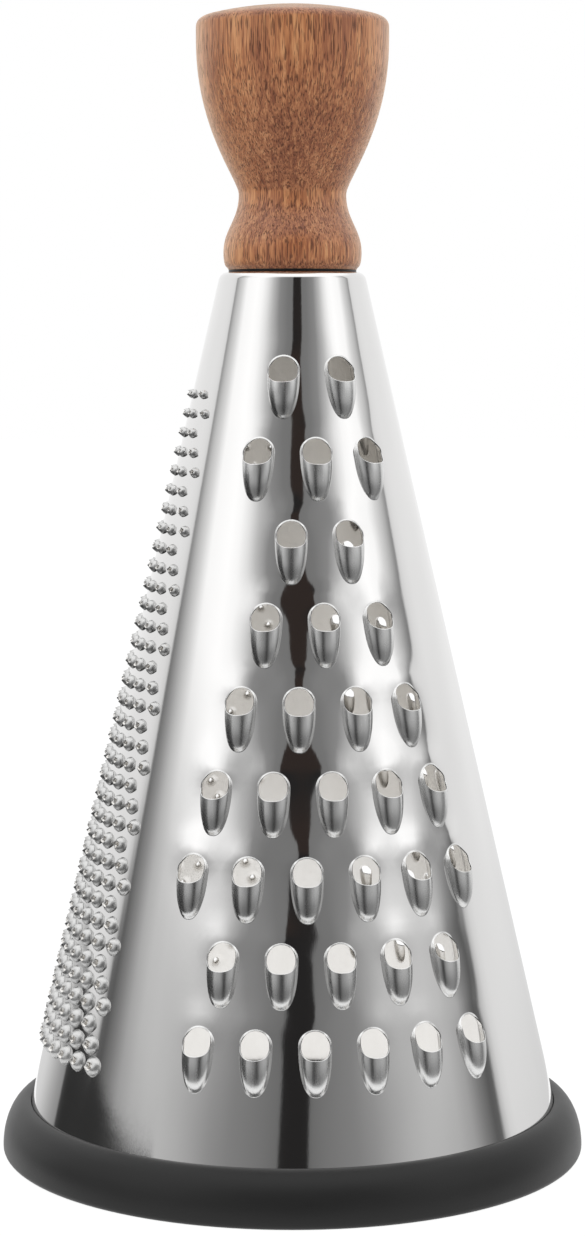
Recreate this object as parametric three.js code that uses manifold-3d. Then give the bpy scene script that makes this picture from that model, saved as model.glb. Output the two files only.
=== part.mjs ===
// Cone grater: a punched steel cone on a soft base ring, with a turned wooden knob screwed to its top.
// Millimetres, +Z up. The origin is the middle of the ring's underside. Azimuth 0 faces -Y, and it
// grows towards +X.
import * as THREE from 'three';
import { mergeGeometries, mergeVertices } from 'three/addons/utils/BufferGeometryUtils.js';
import Module from 'manifold-3d';

const wasm = await Module();
wasm.setup();

// Fits
const FIT_GAP = 0.3;
const SEAT_GAP = 0.2;
const RUNNING_GAP = 0.35;

// Steel cone
const SHEET = 0.6;
const CONE_RIM_RADIUS = 53.7;
const CONE_TOP_RADIUS = 14;
const CONE_HEIGHT = 170.7;
const TOP_BEND_RADIUS = 1.8;

// Base ring
const RING_FLOOR = 1.7;
const RING_OVERHANG = 3.8;
const RING_COVER = 8;
const RING_LIP = 0.6;
const RING_FOOT_EDGE = 1.1;
const RING_INNER_COVER = 0.6;
const RING_INNER_WALL = 2.2;

// Coarse teeth, counted from the lowest row up
const TOOTH_ROW_COUNTS = [6, 5, 6, 5, 4, 3, 2, 3, 2];
const TOOTH_ZONE_AZIMUTH = 11.7;
const TOOTH_FIRST_ROW = 29.2;
const TOOTH_ROW_PITCH = 15.33;
const TOOTH_PITCH = 10.9;
const TOOTH_HALF_WIDTH = 2.95;
const TOOTH_LENGTH = 9.2;
const TOOTH_RISE = 2.5;
const MOUTH_EDGE = 0.15;
const TOOTH_TOP_MARGIN = 12;

// Fine burrs
const BURR_ZONE_AZIMUTH = -108;
const BURR_ZONE_HALF_ANGLE = 60.2;
const BURR_FIRST_ROW = 21.4;
const BURR_ROW_PITCH = 3.7;
const BURR_PITCH = 5.27;
const BURR_ROW_DRIFT = 0.055;
const BURR_RADIUS = 2;
const BURR_RISE = 1.4;
const BURR_TOP_MARGIN = 22;

// Medium teeth
const MEDIUM_ZONE_AZIMUTH = 138;
const MEDIUM_ZONE_HALF_ANGLE = 27;
const MEDIUM_FIRST_ROW = 22;
const MEDIUM_ROW_PITCH = 7.8;
const MEDIUM_PITCH = 5.2;
const MEDIUM_HALF_WIDTH = 1.4;
const MEDIUM_LENGTH = 3.1;
const MEDIUM_RISE = 1.3;
const MEDIUM_MOUTH_RADIUS = 1.35;
const MEDIUM_TOP_MARGIN = 22;

// Handle. A pull is the share of a curve's height over which it keeps its end's direction.
const HANDLE_HEIGHT = 50.1;
const HANDLE_SEAT_RADIUS = 12.4;
const HANDLE_BASE_RADIUS = 13.4;
const HANDLE_BASE_LEVEL = 3;
const HANDLE_WAIST_RADIUS = 10.4;
const HANDLE_WAIST_LEVEL = 14.1;
const HANDLE_TOP_RADIUS = 18.6;
const HANDLE_SHOULDER = 6.8;
const HANDLE_SIDE = 2.7;
const HANDLE_EDGE = 2.1;
const HANDLE_DOME = 2;
const NECK_BASE_PULL = 0.4;
const NECK_WAIST_PULL = 0.44;
const BOWL_WAIST_PULL = 0.1;
const BOWL_TOP_PULL = 0.58;

// Handle fixing
const SEAL_THICKNESS = 0.4;
const SCREW_RADIUS = 2.9;
const SCREW_ENGAGEMENT = 12;
const HEAD_RADIUS = 5.4;
const HEAD_HEIGHT = 3.4;
const SOCKET_RADIUS = 2.3;
const SOCKET_DEPTH = 1.9;
const SOCKET_SIDES = 6;
const FLAT_WASHER_RADIUS = 6.6;
const FLAT_WASHER_THICKNESS = 1.2;
const LOCK_WASHER_WIDTH = 2;
const LOCK_WASHER_THICKNESS = 1.5;
const LOCK_WASHER_SPLIT = 1.2;
const INSERT_WALL = 1.3;
const INSERT_LENGTH = 13;
const INSERT_RIBS = 3;
const INSERT_RIB_RISE = 0.5;
const BORE_SPARE = 3;

// Facets
const CONE_SEGMENTS = 40;
const HANDLE_SEGMENTS = 36;
const SMALL_SEGMENTS = 18;
const TOOTH_SEGMENTS = 6;
const TOOTH_STEPS = 2;
const MOUTH_SEGMENTS = 8;
const BURR_SIDES = 3;
const WEDGE_SIDES = 3;
const MEDIUM_MOUTH_SIDES = 4;
const BEND_STEPS = 2;
const CURVE_STEPS = 5;

// Facets closer to one plane than this are merged into one
const FLAT_TOLERANCE = 0.002;

// Levels and radii that follow from the sizes above
const RIM_LEVEL = RING_FLOOR + FIT_GAP;
const SEAT_LEVEL = RIM_LEVEL + CONE_HEIGHT;
const LEAN = Math.atan2(CONE_RIM_RADIUS - CONE_TOP_RADIUS, CONE_HEIGHT);
const HALF_SHEET = SHEET / 2;
const SEAL_LEVEL = SEAT_LEVEL + SEAT_GAP;
const HANDLE_LEVEL = SEAL_LEVEL + SEAL_THICKNESS + SEAT_GAP;
const LOCK_WASHER_LEVEL = SEAT_LEVEL - SHEET - SEAT_GAP - LOCK_WASHER_THICKNESS;
const FLAT_WASHER_LEVEL = LOCK_WASHER_LEVEL - SEAT_GAP - FLAT_WASHER_THICKNESS;
const HEAD_LEVEL = FLAT_WASHER_LEVEL - SEAT_GAP;
const PASSAGE_RADIUS = SCREW_RADIUS + RUNNING_GAP;
const INSERT_RADIUS = PASSAGE_RADIUS + INSERT_WALL;
const BORE_RADIUS = INSERT_RADIUS + INSERT_RIB_RISE + FIT_GAP;
const BORE_DEPTH = Math.max(INSERT_LENGTH, SCREW_ENGAGEMENT) + BORE_SPARE;
const MOUTH_RADIUS = TOOTH_HALF_WIDTH - MOUTH_EDGE;

const radians = THREE.MathUtils.degToRad;

// Point of the cone's section: height above the rim, and distance out from the outer face.
function sheetPoint(height, outward) {
  const radius = CONE_RIM_RADIUS - height * Math.tan(LEAN);
  return new THREE.Vector2(
    radius + outward * Math.cos(LEAN),
    RIM_LEVEL + height + outward * Math.sin(LEAN),
  );
}

// Frame on the cone's outer face: x runs round the cone, y up the slope and z straight out of it.
function sheetFrame(height, azimuth) {
  const place = sheetPoint(height, 0);
  const out = new THREE.Vector3(Math.sin(azimuth), -Math.cos(azimuth), 0);
  const around = new THREE.Vector3(Math.cos(azimuth), Math.sin(azimuth), 0);
  const normal = out.clone().multiplyScalar(Math.cos(LEAN));
  normal.z = Math.sin(LEAN);
  const upward = new THREE.Vector3().crossVectors(normal, around);
  const origin = out.multiplyScalar(place.x);
  origin.z = place.y;
  return new THREE.Matrix4().makeBasis(around, upward, normal).setPosition(origin);
}

// Closed body from a section of (radius, level) points, turned about the Z axis.
function turned(section, segments) {
  return new THREE.LatheGeometry(section, segments).rotateX(Math.PI / 2);
}

function points(pairs) {
  return pairs.map(([radius, level]) => new THREE.Vector2(radius, level));
}

// Quarter of an ellipse from angle `from` to angle `to`, with its end points.
function arc(centre, across, upright, from, to, steps) {
  const curve = new THREE.EllipseCurve(centre.x, centre.y, across, upright, from, to, from > to);
  return curve.getPoints(steps);
}

function toSolid(geometry) {
  const bare = geometry.clone();
  bare.deleteAttribute('normal');
  bare.deleteAttribute('uv');
  const merged = mergeVertices(bare);
  const corners = merged.index.array;
  const kept = [];
  for (let i = 0; i < corners.length; i += 3) {
    const [a, b, c] = corners.slice(i, i + 3);
    if (a !== b && b !== c && c !== a) kept.push(a, b, c);
  }
  return new wasm.Manifold(new wasm.Mesh({
    numProp: 3,
    vertProperties: new Float32Array(merged.attributes.position.array),
    triVerts: new Uint32Array(kept),
  }));
}

function toGeometry(solid) {
  const mesh = solid.getMesh();
  const geometry = new THREE.BufferGeometry();
  geometry.setAttribute('position', new THREE.BufferAttribute(mesh.vertProperties, 3));
  geometry.setIndex(new THREE.BufferAttribute(mesh.triVerts, 1));
  geometry.computeVertexNormals();
  return geometry;
}

// One solid holding a copy of a small body at every frame.
function copies(body, frames) {
  return toSolid(mergeGeometries(frames.map((frame) => body.clone().applyMatrix4(frame))));
}

// Rows of teeth: each row is centred on its zone, a fixed arc apart.
function toothFrames() {
  const frames = [];
  TOOTH_ROW_COUNTS.forEach((count, row) => {
    const height = TOOTH_FIRST_ROW + row * TOOTH_ROW_PITCH;
    if (height > CONE_HEIGHT - TOOTH_TOP_MARGIN) return;
    const step = TOOTH_PITCH / sheetPoint(height, 0).x;
    for (let i = 0; i < count; i += 1) {
      const azimuth = radians(TOOTH_ZONE_AZIMUTH) + (i - (count - 1) / 2) * step;
      frames.push(sheetFrame(height, azimuth));
    }
  });
  return frames;
}

// Staggered rows over one zone: every second row is moved by half a pitch, and each row by a drift.
function staggeredFrames(zone) {
  const frames = [];
  const rows = Math.floor((CONE_HEIGHT - zone.topMargin - zone.firstRow) / zone.rowPitch) + 1;
  for (let row = 0; row < rows; row += 1) {
    const height = zone.firstRow + row * zone.rowPitch;
    const radius = sheetPoint(height, 0).x;
    const reach = radians(zone.halfAngle) * radius;
    const stagger = row % 2 === 0 ? zone.pitch / 2 : 0;
    const half = Math.floor((reach - stagger) / zone.pitch);
    for (let i = stagger > 0 ? -half - 1 : -half; i <= half; i += 1) {
      const offset = stagger + i * zone.pitch - row * zone.drift;
      frames.push(sheetFrame(height, radians(zone.azimuth) + offset / radius));
    }
  }
  return frames;
}

function burrFrames() {
  return staggeredFrames({
    azimuth: BURR_ZONE_AZIMUTH,
    halfAngle: BURR_ZONE_HALF_ANGLE,
    firstRow: BURR_FIRST_ROW,
    rowPitch: BURR_ROW_PITCH,
    pitch: BURR_PITCH,
    drift: BURR_ROW_DRIFT,
    topMargin: BURR_TOP_MARGIN,
  });
}

function mediumFrames() {
  return staggeredFrames({
    azimuth: MEDIUM_ZONE_AZIMUTH,
    halfAngle: MEDIUM_ZONE_HALF_ANGLE,
    firstRow: MEDIUM_FIRST_ROW,
    rowPitch: MEDIUM_ROW_PITCH,
    pitch: MEDIUM_PITCH,
    drift: 0,
    topMargin: MEDIUM_TOP_MARGIN,
  });
}

// Half an ellipsoid lying down the slope, with its flat end across the mouth.
function hoodBody() {
  const centre = new THREE.Vector2(0, 0);
  const nose = arc(centre, TOOTH_HALF_WIDTH, TOOTH_LENGTH, -Math.PI / 2, 0, TOOTH_STEPS);
  nose[0].x = 0;
  const body = new THREE.LatheGeometry([...nose, centre], TOOTH_SEGMENTS);
  return body.scale(1, 1, TOOTH_RISE / TOOTH_HALF_WIDTH);
}

function mouthCutter() {
  const depth = 4 * TOOTH_RISE;
  const body = new THREE.CylinderGeometry(MOUTH_RADIUS, MOUTH_RADIUS, depth, MOUTH_SEGMENTS);
  return body.rotateX(Math.PI / 2).rotateZ(Math.PI / MOUTH_SEGMENTS);
}

function burrBody() {
  const length = BURR_RISE + HALF_SHEET;
  const body = new THREE.ConeGeometry(BURR_RADIUS, length, BURR_SIDES).rotateX(Math.PI / 2);
  return body.translate(0, 0, length / 2 - HALF_SHEET);
}

// Small hood below its mouth: a wedge with its nose down the slope, highest over its upright end.
// A three-sided cone of radius 1 is half its radius deep behind its axis, and one radius in front.
function mediumBody() {
  const height = MEDIUM_RISE + HALF_SHEET;
  const body = new THREE.ConeGeometry(1, height, WEDGE_SIDES).rotateX(Math.PI / 2);
  const unit = MEDIUM_LENGTH / (1 + 1 / 2);
  const halfEdge = Math.sin(Math.PI / WEDGE_SIDES);
  body.translate(0, 0, height / 2).scale(MEDIUM_HALF_WIDTH / halfEdge, unit, 1);
  const lean = new THREE.Matrix4().makeShear(0, 0, 0, 0, 0, unit / 2 / height);
  const below = -unit / 2 - MEDIUM_MOUTH_RADIUS - MOUTH_EDGE;
  return body.applyMatrix4(lean).translate(0, below, -HALF_SHEET);
}

function mediumMouthCutter() {
  const depth = 4 * MEDIUM_RISE;
  const radius = MEDIUM_MOUTH_RADIUS;
  return new THREE.CylinderGeometry(radius, radius, depth, MEDIUM_MOUTH_SIDES).rotateX(Math.PI / 2);
}

// Plain sheet: the cone's wall, bent over at the top into a plate with the screw's hole.
function plainSheet() {
  const bend = sheetPoint(CONE_HEIGHT, 0).x - TOP_BEND_RADIUS * Math.tan((Math.PI / 2 - LEAN) / 2);
  const centre = new THREE.Vector2(bend, SEAT_LEVEL - TOP_BEND_RADIUS);
  const inner = TOP_BEND_RADIUS - SHEET;
  const outside = arc(centre, TOP_BEND_RADIUS, TOP_BEND_RADIUS, LEAN, Math.PI / 2, BEND_STEPS);
  const inside = arc(centre, inner, inner, Math.PI / 2, LEAN, BEND_STEPS);
  const section = [
    sheetPoint(0, 0),
    ...outside,
    new THREE.Vector2(PASSAGE_RADIUS, SEAT_LEVEL),
    new THREE.Vector2(PASSAGE_RADIUS, SEAT_LEVEL - SHEET),
    ...inside,
    new THREE.Vector2(sheetPoint(0, 0).x - SHEET / Math.cos(LEAN), RIM_LEVEL),
    sheetPoint(0, 0),
  ];
  return toSolid(turned(section, CONE_SEGMENTS));
}

// Solid cone that reaches to the middle of the sheet, for trimming what would stand out inside.
function coneCore() {
  const section = [
    new THREE.Vector2(0, 0),
    new THREE.Vector2(sheetPoint(-RIM_LEVEL, -HALF_SHEET).x, 0),
    new THREE.Vector2(sheetPoint(CONE_HEIGHT, -HALF_SHEET).x, SEAT_LEVEL),
    new THREE.Vector2(0, SEAT_LEVEL),
  ];
  return toSolid(turned(section, CONE_SEGMENTS));
}

function graterCone() {
  const teeth = toothFrames();
  const hoods = copies(hoodBody(), teeth).subtract(coneCore());
  const mouths = copies(mouthCutter(), teeth);
  const burrs = copies(burrBody(), burrFrames());
  const mediums = copies(mediumBody(), mediumFrames());
  const mediumMouths = copies(mediumMouthCutter(), mediumFrames());
  const pierced = plainSheet().add(hoods).subtract(mouths).subtract(mediumMouths);
  const punched = pierced.add(mediums).add(burrs);
  return toGeometry(punched.asOriginal().simplify(FLAT_TOLERANCE));
}

// Soft ring with a slanted groove that takes the cone's rim.
function baseRing() {
  const gap = FIT_GAP / Math.cos(LEAN);
  const lean = Math.tan(LEAN);
  const outerAt = (level) => CONE_RIM_RADIUS - (level - RIM_LEVEL) * lean + gap;
  const innerAt = (level) => outerAt(level) - 2 * gap - SHEET / Math.cos(LEAN);
  const foot = CONE_RIM_RADIUS + RING_OVERHANG;
  const top = RIM_LEVEL + RING_COVER;
  const lipTop = RIM_LEVEL + RING_INNER_COVER;
  const crown = new THREE.Vector2(outerAt(top) + RING_LIP, RING_FOOT_EDGE);
  const edge = new THREE.Vector2(foot - RING_FOOT_EDGE, RING_FOOT_EDGE);
  const section = [
    ...points([[innerAt(lipTop) - RING_INNER_WALL, 0]]),
    ...arc(edge, RING_FOOT_EDGE, RING_FOOT_EDGE, -Math.PI / 2, 0, BEND_STEPS),
    ...arc(crown, foot - crown.x, top - RING_FOOT_EDGE, 0, Math.PI / 2, CURVE_STEPS).slice(1),
    ...points([
      [outerAt(top), top],
      [outerAt(RING_FLOOR), RING_FLOOR],
      [innerAt(RING_FLOOR), RING_FLOOR],
      [innerAt(lipTop), lipTop],
      [innerAt(lipTop) - RING_INNER_WALL, lipTop],
      [innerAt(lipTop) - RING_INNER_WALL, 0],
    ]),
  ];
  return turned(section, CONE_SEGMENTS);
}

// Knob outline from its seat to its crown, with the blind bore for the insert.
function woodHandle() {
  const widest = HANDLE_HEIGHT - HANDLE_SHOULDER;
  const domeRadius = HANDLE_TOP_RADIUS - HANDLE_EDGE;
  const domeLevel = HANDLE_HEIGHT - HANDLE_DOME;
  const domeSlope = 2 * HANDLE_DOME / domeRadius;
  const neck = HANDLE_WAIST_LEVEL - HANDLE_BASE_LEVEL;
  const bowl = widest - HANDLE_WAIST_LEVEL;
  const outline = new THREE.Path();
  outline.moveTo(HANDLE_SEAT_RADIUS, 0);
  outline.quadraticCurveTo(HANDLE_BASE_RADIUS, 0, HANDLE_BASE_RADIUS, HANDLE_BASE_LEVEL);
  outline.bezierCurveTo(
    HANDLE_BASE_RADIUS, HANDLE_BASE_LEVEL + NECK_BASE_PULL * neck,
    HANDLE_WAIST_RADIUS, HANDLE_WAIST_LEVEL - NECK_WAIST_PULL * neck,
    HANDLE_WAIST_RADIUS, HANDLE_WAIST_LEVEL,
  );
  outline.bezierCurveTo(
    HANDLE_WAIST_RADIUS, HANDLE_WAIST_LEVEL + BOWL_WAIST_PULL * bowl,
    HANDLE_TOP_RADIUS, widest - BOWL_TOP_PULL * bowl,
    HANDLE_TOP_RADIUS, widest,
  );
  outline.lineTo(HANDLE_TOP_RADIUS, widest + HANDLE_SIDE);
  outline.quadraticCurveTo(
    HANDLE_TOP_RADIUS, domeLevel - HANDLE_EDGE * domeSlope,
    domeRadius, domeLevel,
  );
  outline.quadraticCurveTo(domeRadius / 2, HANDLE_HEIGHT, 0, HANDLE_HEIGHT);
  const section = [
    ...points([[0, BORE_DEPTH], [BORE_RADIUS, BORE_DEPTH], [BORE_RADIUS, 0]]),
    ...outline.getPoints(CURVE_STEPS),
  ];
  return turned(section, HANDLE_SEGMENTS).translate(0, 0, HANDLE_LEVEL);
}

// Flat ring between two radii, standing on a level.
function flatRing(inner, outer, level, thickness, segments) {
  const section = points([
    [inner, level],
    [outer, level],
    [outer, level + thickness],
    [inner, level + thickness],
    [inner, level],
  ]);
  return turned(section, segments);
}

function handleSeal() {
  return flatRing(PASSAGE_RADIUS, HANDLE_SEAT_RADIUS, SEAL_LEVEL, SEAL_THICKNESS, HANDLE_SEGMENTS);
}

function flatWasher() {
  const outer = FLAT_WASHER_RADIUS;
  return flatRing(PASSAGE_RADIUS, outer, FLAT_WASHER_LEVEL, FLAT_WASHER_THICKNESS, SMALL_SEGMENTS);
}

// Spring washer: a ring with a split.
function lockWasher() {
  const outer = PASSAGE_RADIUS + LOCK_WASHER_WIDTH;
  const open = LOCK_WASHER_SPLIT / 2;
  const shape = new THREE.Shape();
  shape.absarc(0, 0, outer, open / outer, 2 * Math.PI - open / outer, false);
  shape.absarc(0, 0, PASSAGE_RADIUS, 2 * Math.PI - open / PASSAGE_RADIUS, open / PASSAGE_RADIUS, true);
  const options = { depth: LOCK_WASHER_THICKNESS, bevelEnabled: false, curveSegments: SMALL_SEGMENTS };
  return new THREE.ExtrudeGeometry(shape, options).translate(0, 0, LOCK_WASHER_LEVEL);
}

// Screw put in from inside the cone, with a low rounded head and a hexagon socket.
function handleScrew() {
  const tip = HANDLE_LEVEL + SCREW_ENGAGEMENT;
  const base = HEAD_LEVEL - HEAD_HEIGHT;
  const rounding = new THREE.Vector2(HEAD_RADIUS - HEAD_HEIGHT / 2, base + HEAD_HEIGHT / 2);
  const section = [
    new THREE.Vector2(0, base),
    ...arc(rounding, HEAD_HEIGHT / 2, HEAD_HEIGHT / 2, -Math.PI / 2, 0, BEND_STEPS),
    ...points([[HEAD_RADIUS, HEAD_LEVEL], [SCREW_RADIUS, HEAD_LEVEL], [SCREW_RADIUS, tip], [0, tip]]),
  ];
  const socket = new THREE.CylinderGeometry(SOCKET_RADIUS, SOCKET_RADIUS, 2 * SOCKET_DEPTH, SOCKET_SIDES);
  socket.rotateX(Math.PI / 2).translate(0, 0, base);
  return toGeometry(toSolid(turned(section, SMALL_SEGMENTS)).subtract(toSolid(socket)));
}

// Brass sleeve in the knob's bore, with ribs that grip the wood.
function threadedInsert() {
  const step = INSERT_LENGTH / (2 * INSERT_RIBS + 1);
  const outside = [];
  for (let i = 0; i <= 2 * INSERT_RIBS; i += 1) {
    const radius = INSERT_RADIUS + (i % 2 === 1 ? INSERT_RIB_RISE : 0);
    outside.push([radius, i * step], [radius, (i + 1) * step]);
  }
  const section = points([
    [PASSAGE_RADIUS, 0],
    ...outside,
    [PASSAGE_RADIUS, INSERT_LENGTH],
    [PASSAGE_RADIUS, 0],
  ]);
  return turned(section, SMALL_SEGMENTS).translate(0, 0, HANDLE_LEVEL + FIT_GAP);
}

const steel = { color: 0xc4c6c8, roughness: 0.22, metalness: 1 };
const zincPlate = { color: 0xa9abad, roughness: 0.4, metalness: 1 };
const brass = { color: 0xb8924a, roughness: 0.35, metalness: 1 };
const blackRubber = { color: 0x2b2b2c, roughness: 0.7, metalness: 0 };
const oiledWood = { color: 0x9a6140, roughness: 0.55, metalness: 0 };

const grater = new THREE.Group();

function addPiece(name, geometry, finish) {
  const piece = new THREE.Mesh(geometry, new THREE.MeshStandardMaterial(finish));
  piece.name = name;
  grater.add(piece);
}

addPiece('grater_cone', graterCone(), steel);
addPiece('base_ring', baseRing(), blackRubber);
addPiece('handle_seal', handleSeal(), blackRubber);
addPiece('wood_handle', woodHandle(), oiledWood);
addPiece('threaded_insert', threadedInsert(), brass);
addPiece('lock_washer', lockWasher(), zincPlate);
addPiece('flat_washer', flatWasher(), zincPlate);
addPiece('handle_screw', handleScrew(), zincPlate);

export default grater;
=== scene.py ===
"""Looks of the cone grater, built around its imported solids.

Sizes are in millimetres until a mesh is made, because Blender itself works in metres.
Azimuth 0 faces -Y, where the camera stands, and it grows towards +X.
"""
import math

import bpy
import numpy as np
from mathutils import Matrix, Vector, geometry, kdtree


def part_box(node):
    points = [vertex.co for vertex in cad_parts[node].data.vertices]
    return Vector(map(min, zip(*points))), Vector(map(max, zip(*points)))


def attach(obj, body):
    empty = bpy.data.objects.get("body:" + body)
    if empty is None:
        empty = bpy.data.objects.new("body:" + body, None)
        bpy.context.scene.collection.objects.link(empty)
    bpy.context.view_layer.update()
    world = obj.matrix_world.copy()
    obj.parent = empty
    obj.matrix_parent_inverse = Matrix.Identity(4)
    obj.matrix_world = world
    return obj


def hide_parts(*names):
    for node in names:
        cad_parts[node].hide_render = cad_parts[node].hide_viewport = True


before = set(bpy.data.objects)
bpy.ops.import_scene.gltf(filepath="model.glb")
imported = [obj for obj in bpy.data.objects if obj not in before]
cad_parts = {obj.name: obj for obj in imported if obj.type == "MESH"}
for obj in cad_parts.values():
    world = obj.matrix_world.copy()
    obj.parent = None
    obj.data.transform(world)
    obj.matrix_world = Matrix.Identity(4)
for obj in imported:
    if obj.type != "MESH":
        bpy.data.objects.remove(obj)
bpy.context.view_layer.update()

MM = 0.001

# Camera, at the photograph's viewing angle
PHOTO_HEIGHT = 1236
FOCAL_PIXELS = 2840
SENSOR_HEIGHT = 36
CAMERA_PLACE = (0, -555.1, 159.7)
CAMERA_DOWN = 5.6
CAMERA_REACH = 100000


def node_box(name):
    """Lowest and highest corner of a solid, in millimetres."""
    low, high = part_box(name)
    return np.array(low) / MM, np.array(high) / MM


# Steel sheet
SHEET = 0.6
TOP_RADIUS = 14
TOP_BEND = 1.8
SCREW_HOLE = 3.25
CONE_LOW, CONE_HIGH = node_box("grater_cone")
RIM_LEVEL = CONE_LOW[2]
SEAT_LEVEL = CONE_HIGH[2]
RIM_RADIUS = CONE_HIGH[0]
CONE_HEIGHT = SEAT_LEVEL - RIM_LEVEL
LEAN = math.atan2(RIM_RADIUS - TOP_RADIUS, CONE_HEIGHT)
SEAM_AZIMUTH = math.radians(180)
SHEET_MIDDLE = SEAM_AZIMUTH - math.pi
BEND_HEIGHT = CONE_HEIGHT - TOP_BEND * (1 - math.sin(LEAN))

# Coarse teeth, counted from the lowest row up
TOOTH_ROW_COUNTS = (6, 5, 6, 5, 4, 3, 2, 3, 2)
TOOTH_ZONE = math.radians(11.7)
TOOTH_FIRST_ROW = 29.2
TOOTH_ROW_PITCH = 15.33
TOOTH_PITCH = 10.9
COARSE = dict(half_width=3, length=9, rise=2.5, mouth=2.78, bevel=0.06, wall=0.22, sides=40, steps=12)

# Medium teeth and fine burrs
MEDIUM_ZONE = dict(azimuth=math.radians(138), half_angle=math.radians(27), first_row=22, row_pitch=7.8,
                   pitch=5.2, drift=0, top_margin=22)
MEDIUM = dict(half_width=1.45, length=4.5, rise=1.3, mouth=1.3, bevel=0.06, wall=0.35, sides=20, steps=8)
BURR_ZONE = dict(azimuth=math.radians(-109.3), half_angle=math.radians(60.2), first_row=21.4, row_pitch=3.7,
                 pitch=5.27, drift=0.055, top_margin=22)
BURR_SIDES = 16
BURR_FOOT = 2
BURR_TOP_SIZE = 0.46

# Mesh fineness
SHEET_STEP = 1.6
FILL_CLEARANCE = 0.6 * SHEET_STEP
RIM_STEPS = 180
TOP_STEPS = 72
BEND_STEPS = 7
PLATE_STEPS = 4
TURNED_STEPS = 128
SMALL_STEPS = 48
SOFT_STEPS = 4
# Half the distance over which the slope of a bulge is taken
SLOPE_STEP = 0.05
# Distance below which two points are one, and the least length that a vector is divided by
SAME_PLACE = 1e-6
SHORTEST = 1e-12

# Surfaces of a mesh: each point has one smooth normal on each of them
OUTSIDE, INSIDE, EDGE, BURR_FLANK, BURR_HOLE = range(5)
# Finishes of the sheet
POLISHED, RAW, PRESSED, TORN = range(4)


def cone_radius(height):
    return RIM_RADIUS - height * math.tan(LEAN)


def flat_place(height, azimuth):
    """Point of the unrolled sheet, whose +Y runs up the slope at the sheet's middle."""
    reach = cone_radius(np.asarray(height, float)) / math.sin(LEAN)
    turn = (np.asarray(azimuth, float) - SHEET_MIDDLE) * math.sin(LEAN)
    return np.stack([reach * np.sin(turn), -reach * np.cos(turn)], -1)


def cone_place(flat):
    """Height above the rim and azimuth of points of the unrolled sheet."""
    reach = np.hypot(flat[..., 0], flat[..., 1])
    turn = np.arctan2(flat[..., 0], -flat[..., 1])
    height = (RIM_RADIUS - reach * math.sin(LEAN)) / math.tan(LEAN)
    return height, SHEET_MIDDLE + turn / math.sin(LEAN)


def rolled(flat, outward):
    """Points of the sheet, rolled up, some way out from its outer face."""
    height, azimuth = cone_place(flat)
    radius = cone_radius(height) + outward * math.cos(LEAN)
    level = RIM_LEVEL + height + outward * math.sin(LEAN)
    return np.stack([radius * np.sin(azimuth), -radius * np.cos(azimuth), level], -1)


def sheet_axes(azimuth):
    """Directions round the cone, up the slope and out of the sheet."""
    sine, cosine, zero = np.sin(azimuth), np.cos(azimuth), np.zeros_like(azimuth)
    around = np.stack([cosine, sine, zero], -1)
    out = np.stack([sine * math.cos(LEAN), -cosine * math.cos(LEAN), zero + math.sin(LEAN)], -1)
    return around, np.cross(out, around), out


def placed(local, height, azimuth):
    """Local points (across, up the slope) of a tooth, on the unrolled sheet."""
    turn = (azimuth - SHEET_MIDDLE) * math.sin(LEAN)
    across, up = local[..., 0], local[..., 1]
    cosine, sine = math.cos(turn), math.sin(turn)
    swung = np.stack([cosine * across - sine * up, sine * across + cosine * up], -1)
    return flat_place(height, azimuth) + swung


def tooth_places():
    """Height and azimuth of each coarse tooth."""
    places = []
    for row, count in enumerate(TOOTH_ROW_COUNTS):
        height = TOOTH_FIRST_ROW + row * TOOTH_ROW_PITCH
        step = TOOTH_PITCH / cone_radius(height)
        for i in range(count):
            places.append((height, TOOTH_ZONE + (i - (count - 1) / 2) * step))
    return places


def staggered_places(azimuth, half_angle, first_row, row_pitch, pitch, drift, top_margin):
    """Heights and azimuths of a zone's teeth or burrs; every other row is moved by half a pitch."""
    places = []
    rows = math.floor((CONE_HEIGHT - top_margin - first_row) / row_pitch) + 1
    for row in range(rows):
        height = first_row + row * row_pitch
        radius = cone_radius(height)
        stagger = pitch / 2 if row % 2 == 0 else 0
        half = math.floor((half_angle * radius - stagger) / pitch)
        for i in range(-half - (1 if stagger else 0), half + 1):
            places.append((height, azimuth + (stagger + i * pitch - row * drift) / radius))
    return places


TEETH = tooth_places()
MEDIUM_TEETH = staggered_places(**MEDIUM_ZONE)
BURRS = staggered_places(**BURR_ZONE)

HOODS = ((COARSE, TEETH), (MEDIUM, MEDIUM_TEETH))

# Punching makes the sheet bulge round each coarse tooth; heights of the bulges from the lowest row up
ROW_BULGES = (0.08, 0.14, 0.26, 0.3, 0.3, 0.3, 0.24, 0.1, 0.05)
TOOTH_BULGES = np.repeat(ROW_BULGES, TOOTH_ROW_COUNTS)
BULGE_REACH = 2.5
BULGE_ABOVE = 3.4


def seen_from(places, flat):
    """Points of the unrolled sheet in the axes of each tooth: across it and up the slope."""
    heights, azimuths = np.array(places).T
    turn = (azimuths - SHEET_MIDDLE) * math.sin(LEAN)
    gap = flat[:, None] - flat_place(heights, azimuths)
    across = gap[..., 0] * np.cos(turn) + gap[..., 1] * np.sin(turn)
    return across, gap[..., 1] * np.cos(turn) - gap[..., 0] * np.sin(turn)


def bulge(flat):
    """How far the sheet stands out from a true cone."""
    across, up = seen_from(TEETH, flat)
    away = across ** 2 + (up - BULGE_ABOVE) ** 2
    return (TOOTH_BULGES * np.exp(-away / (2 * BULGE_REACH ** 2))).sum(-1)


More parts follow.
